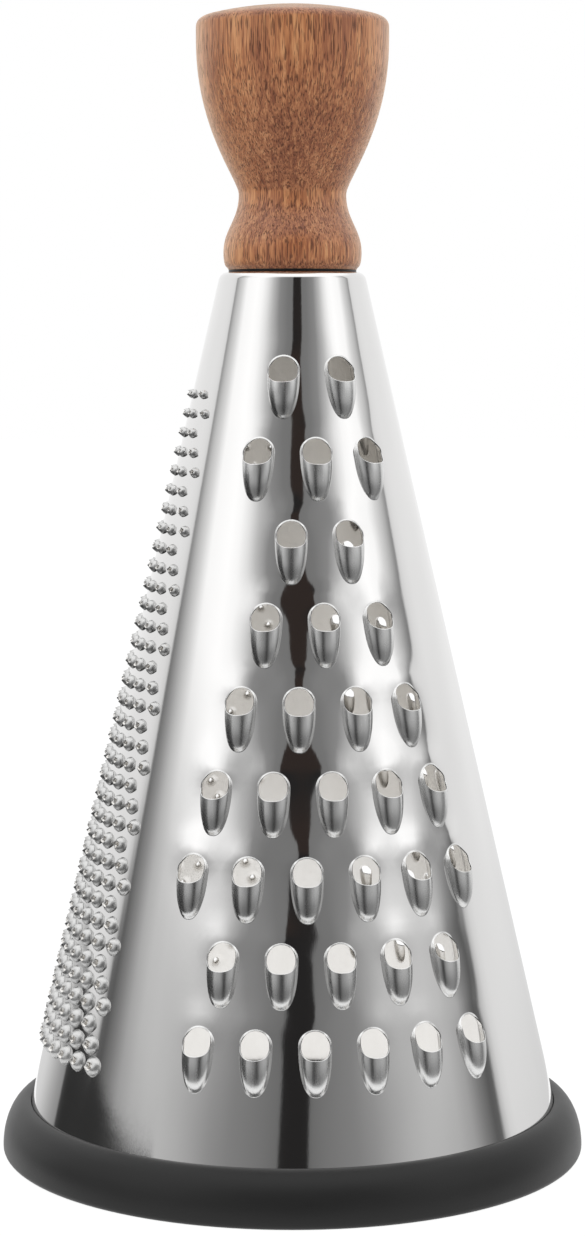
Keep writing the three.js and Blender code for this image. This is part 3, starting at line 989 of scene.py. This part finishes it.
def oiled_wood():
    material, wood = new_material("oiled_wood")
    figure = wood.noise((8, 8, 70), detail=3, distortion=0.6)
    grain = wood.noise((0.8, 0.8, 22), detail=3)
    fibre = wood.noise((0.28, 0.28, 6), detail=2)
    pore = wood.between(wood.noise((0.24, 0.24, 3.6), detail=1), 0.55, 0.64)
    tone = 0.3 * figure + 0.35 * grain + 0.35 * fibre
    colour = wood.ramp(tone, [
        (0.4, (0.31, 0.088, 0.027)),
        (0.47, (0.47, 0.165, 0.056)),
        (0.53, (0.61, 0.245, 0.09)),
        (0.6, (0.74, 0.35, 0.147)),
    ])
    # Slanting faces cut across the fibres, and the end grain there is darker
    facing = wood.node("ShaderNodeTexCoord", output="Normal")
    upright = wood.node("ShaderNodeSeparateXYZ", {}, {0: facing}, "Z")
    end_grain = wood.between(abs(upright), 0.08, 0.42)
    colour = wood.mix(end_grain, colour, (0.84, 0.8, 0.82, 1), "MULTIPLY")
    wood.surface(
        Base_Color=wood.mix(pore * 0.75, colour, (0.1, 0.028, 0.011, 1)),
        Roughness=0.42 + 0.25 * pore + 0.1 * fibre,
        Coat_Weight=0.6 - 0.4 * pore,
        Coat_Roughness=0.35,
        Sheen_Weight=0.9,
        Sheen_Roughness=0.4,
        Sheen_Tint=(1, 0.76, 0.55, 1),
        Normal=wood.bump(fibre * 0.3 - pore, 0.05),
    )
    return material


def soft_rubber(name, shade):
    material, rubber = new_material(name)
    cloud = rubber.noise((12, 12, 8), detail=4)
    grain = rubber.noise((0.35, 0.35, 0.35), detail=2)
    low, high = ([shade * step] * 3 for step in (0.85, 1.2))
    rubber.surface(
        Base_Color=rubber.mix(cloud, (*low, 1), (*high, 1)),
        Roughness=0.34 + 0.1 * cloud + 0.06 * grain,
        Specular_IOR_Level=0.3,
        Normal=rubber.bump(grain, 0.012),
    )
    return material


def turned_metal(name, dark, light, rough):
    """Machined metal: fine rings round its axis and a little tarnish."""
    material, metal = new_material(name)
    tarnish = metal.noise((3, 3, 3), detail=4)
    rings = metal.noise((8, 8, 0.15), detail=1)
    metal.surface(
        Base_Color=metal.mix(tarnish, (*dark, 1), (*light, 1)),
        Metallic=1.0,
        Roughness=rough + 0.15 * tarnish,
        Normal=metal.bump(rings, 0.006),
    )
    return material


def dress(name, skin, materials, body, node):
    """Makes a piece that moves with a body and is shown in place of a solid."""
    piece = skin.make(name, materials)
    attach(piece, body)
    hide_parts(node)


# In the order of the sheet's finishes: polished, raw, pressed and torn
sheet_finishes = [
    polished_steel(),
    inside_steel(),
    pressed_steel("pressed_steel", 0.2, 0.735),
    # Torn steel is rougher from the tearing. Its base colour, darker than pressed steel, is painted shade
    # for the shadows and dark reflections among the burrs.
    pressed_steel("torn_steel_painted_shade", 0.32, 0.6),
]
ring_rubber = soft_rubber("ring_rubber", 0.013)
# The seal is black rubber, and its black also paints the shadow gap under the knob: painted shade.
seal_rubber = soft_rubber("seal_rubber", 0.012)
zinc = turned_metal("zinc_plate", (0.42, 0.42, 0.43), (0.6, 0.6, 0.6), 0.25)
brass = turned_metal("brass", (0.45, 0.30, 0.11), (0.62, 0.45, 0.19), 0.22)
seal_skin = washer_skin("handle_seal", SEAL_SOFT_EDGE, SEAL_DROP, SEAL_PRESSED)
washer = washer_skin("flat_washer", WASHER_SOFT_EDGE)

dress("punched_cone", punched_sheet(), sheet_finishes, "grater", "grater_cone")
dress("soft_base_ring", base_ring_skin(), [ring_rubber], "grater", "base_ring")
dress("turned_handle", handle_skin(), [oiled_wood()], "handle", "wood_handle")
dress("black_seal_and_shadow_gap", seal_skin, [seal_rubber], "seal", "handle_seal")
dress("plain_washer", washer, [zinc], "grater", "flat_washer")
dress("spring_washer", split_washer_skin(), [zinc], "grater", "lock_washer")
dress("knob_screw", screw_skin(), [zinc], "grater", "handle_screw")
dress("brass_sleeve", sleeve_skin(), [brass], "handle", "threaded_insert")

# Studio: tones by azimuth from the front, from below the table up. Colours are shares of the brightest tone.
FULL_SIDE = 180
BRIGHTEST = 2
UNDER_TONES = ((0, 0.06), (10, 0.08), (20, 0.16), (44, 0.22), (60, 0.26), (76, 0.28), (91, 0.2),
               (100, 0.12), (103, 0.35), (112, 0.45), (140, 0.6), (180, 0.75))
FOOT_TONES = ((0, 0.12), (8, 0.14), (16, 0.3), (28, 0.46), (44, 0.52), (60, 0.54), (76, 0.5), (84, 0.42),
              (91, 0.25), (98, 0.12), (101.5, 0.14), (103.5, 0.6), (107, 0.8), (112, 0.88), (140, 0.96),
              (180, 1.0))
LOW_TONES = ((0, 0.17), (7, 0.17), (14, 0.21), (28, 0.26), (36, 0.32), (44, 0.42), (52, 0.52), (60, 0.6),
             (68, 0.66), (76, 0.66), (84, 0.55), (91, 0.33), (98.5, 0.18), (100.5, 0.76), (105, 0.88),
             (112, 0.94), (140, 0.98), (180, 1.0))
HIGH_TONES = ((0, 0.2), (14, 0.22), (26, 0.3), (36, 0.6), (44, 0.95), (52, 1.2), (60, 1.28), (76, 1.2),
              (84, 0.85), (92, 0.62), (98, 0.36), (99.5, 0.85), (105, 0.92), (112, 0.95), (180, 1.0))
# Elevations over which one set of tones passes into the next
UNDER_FULL, UNDER_END = -16, 1
WALL_FOOT, WALL_LOW = 3, 9
BOX_FOOT, BOX_FULL = 8, 16.5
# Dark strip in front. It steps to the right twice on its way up, and the tones beside it go along. Each
# step has its degrees and the elevations between which it is made.
STRIP_HALF = 6.5
STRIP_EDGE = 0.6
STRIP_STEPS = ((4.3, 9, 15), (4.5, 24, 29))
ALONG_FULL, ALONG_END = 40, 90
BROWN_START = (14, 19)
BROWN_END = (25, 28)
STRIP_DARK = (0.022, 0.021, 0.021)
STRIP_BROWN = (0.036, 0.027, 0.024)
# Dark card that stands low on the left; its top slopes up towards the front
CARD_FROM, CARD_TO = -125, -60
CARD_LEFT_EDGE, CARD_RIGHT_EDGE, CARD_TOP_EDGE = 2, 3, 0.2
CARD_SHADE_FROM, CARD_SHADE_TO = -155, -118
CARD_SHADE = 0.7
CARD_LEVEL, CARD_SLOPE = -1.0, 0.109
CARD_TONE = 0.035
CEILING_FROM, CEILING_FULL = 33, 48
CEILING_TONE = 1.3


def studio_world():
    """Studio that the steel mirrors; where the camera sees it directly, it is white."""
    world = bpy.data.worlds.new("studio")
    world.use_nodes = True
    bpy.context.scene.world = world
    sky = Finish(world.node_tree)
    way = sky.node("ShaderNodeTexCoord", output="Generated")
    east, north, up = (sky.node("ShaderNodeSeparateXYZ", {}, {0: way}, axis) for axis in "XYZ")
    degrees = 180 / math.pi
    elevation = sky.math("ARCSINE", up) * degrees
    azimuth = sky.math("ARCTAN2", east, -north) * degrees
    low_step, high_step = (gain * sky.between(elevation, low, high) for gain, low, high in STRIP_STEPS)
    lean = low_step + high_step
    along = 1 - sky.between(abs(azimuth), ALONG_FULL, ALONG_END)
    side = abs(azimuth - lean * along) * (1 / FULL_SIDE)

    def shade(*colour):
        return [part / BRIGHTEST for part in colour] + [1]

    def tones(stops):
        return sky.ramp(side, [(angle / FULL_SIDE, shade(tone, tone, tone)[:3]) for angle, tone in stops])

    walls = sky.mix(sky.between(elevation, UNDER_FULL, UNDER_END), tones(UNDER_TONES), tones(FOOT_TONES))
    walls = sky.mix(sky.between(elevation, WALL_FOOT, WALL_LOW), walls, tones(LOW_TONES))
    walls = sky.mix(sky.between(elevation, BOX_FOOT, BOX_FULL), walls, tones(HIGH_TONES))
    strip = 1 - sky.between(abs(azimuth - lean), STRIP_HALF - STRIP_EDGE, STRIP_HALF + STRIP_EDGE)
    brown = sky.between(elevation, *BROWN_START) * (1 - sky.between(elevation, *BROWN_END))
    strip_colour = sky.mix(brown, shade(*STRIP_DARK), shade(*STRIP_BROWN))
    over_card = elevation - CARD_LEVEL - (azimuth - CARD_FROM) * CARD_SLOPE
    card = CARD_SHADE * sky.between(azimuth, CARD_SHADE_FROM, CARD_SHADE_TO)
    card = card + (1 - CARD_SHADE) * sky.between(azimuth, CARD_FROM, CARD_FROM + CARD_LEFT_EDGE)
    card = card * (1 - sky.between(azimuth, CARD_TO - CARD_RIGHT_EDGE, CARD_TO))
    card = card * (1 - sky.between(over_card, -CARD_TOP_EDGE, CARD_TOP_EDGE))
    walls = sky.mix(card, sky.mix(strip, walls, strip_colour), shade(CARD_TONE, CARD_TONE, CARD_TONE))
    room = sky.mix(sky.between(elevation, CEILING_FROM, CEILING_FULL), walls,
                   shade(CEILING_TONE, CEILING_TONE, CEILING_TONE))
    seen = sky.node("ShaderNodeLightPath", output="Is Camera Ray")
    background = sky.node("ShaderNodeBackground", {}, {
        "Color": sky.mix(seen, room, (1, 1, 1, 1)),
        "Strength": seen + (1 - seen) * BRIGHTEST,
    })
    sky.node("ShaderNodeOutputWorld", {}, {"Surface": background})


# Floor, and a bright patch of table that the camera itself doesn't see
FLOOR_REACH = 4000
FLOOR_SHADE = 0.8
FLOOR_ROUGHNESS = 0.9
FLOOR_GLOW = 0.82
FLOOR_LIGHT = 1.08
TABLE_RADIUS = 90
TABLE_LEVEL = 0.2
TABLE_TONE = 1.05


def stage_piece(name, points, material):
    """One flat face that belongs to the studio."""
    skin = Skin()
    skin.face(skin.add(points))
    piece = skin.make(name, [material])
    return piece


def pale_floor():
    """Plain pale floor that shows shadows, and is made white where the camera sees it."""
    material, finish = new_material("pale_floor")
    sockets = {"Base Color": [FLOOR_SHADE] * 3 + [1], "Roughness": FLOOR_ROUGHNESS}
    plain = finish.node("ShaderNodeBsdfPrincipled", {}, sockets)
    shine = finish.node("ShaderNodeEmission", {}, {"Color": (1, 1, 1, 1), "Strength": FLOOR_LIGHT})
    seen = finish.node("ShaderNodeLightPath", output="Is Camera Ray")
    both = finish.node("ShaderNodeMixShader", {}, {0: seen * FLOOR_GLOW, 1: plain, 2: shine})
    finish.node("ShaderNodeOutputMaterial", {}, {"Surface": both})
    half = FLOOR_REACH
    corners = [(-half, -half, 0), (half, -half, 0), (half, half, 0), (-half, half, 0)]
    floor = stage_piece("pale_floor", corners, material)
    floor.visible_glossy = False


def lit_table():
    """Bright patch of table under the grater, for the steel to reflect."""
    material, finish = new_material("lit_table")
    shine = finish.node("ShaderNodeEmission", {}, {"Color": (1, 1, 1, 1), "Strength": TABLE_TONE})
    finish.node("ShaderNodeOutputMaterial", {}, {"Surface": shine})
    azimuth = 2 * math.pi * np.arange(SMALL_STEPS) / SMALL_STEPS
    level = np.full(SMALL_STEPS, TABLE_LEVEL)
    circle = np.column_stack([TABLE_RADIUS * np.cos(azimuth), TABLE_RADIUS * np.sin(azimuth), level])
    table = stage_piece("lit_table", circle, material)
    table.visible_camera = False
    table.visible_shadow = False


def add_camera():
    data = bpy.data.cameras.new("camera")
    data.sensor_fit = "VERTICAL"
    data.sensor_height = SENSOR_HEIGHT
    data.lens = FOCAL_PIXELS * SENSOR_HEIGHT / PHOTO_HEIGHT
    data.clip_end = CAMERA_REACH * MM
    camera = bpy.data.objects.new("camera", data)
    camera.location = Vector(CAMERA_PLACE) * MM
    camera.rotation_euler = (math.radians(90 - CAMERA_DOWN), 0, 0)
    bpy.context.scene.collection.objects.link(camera)
    bpy.context.scene.camera = camera


studio_world()
pale_floor()
lit_table()
add_camera()
bpy.context.scene.view_settings.view_transform = "Standard"
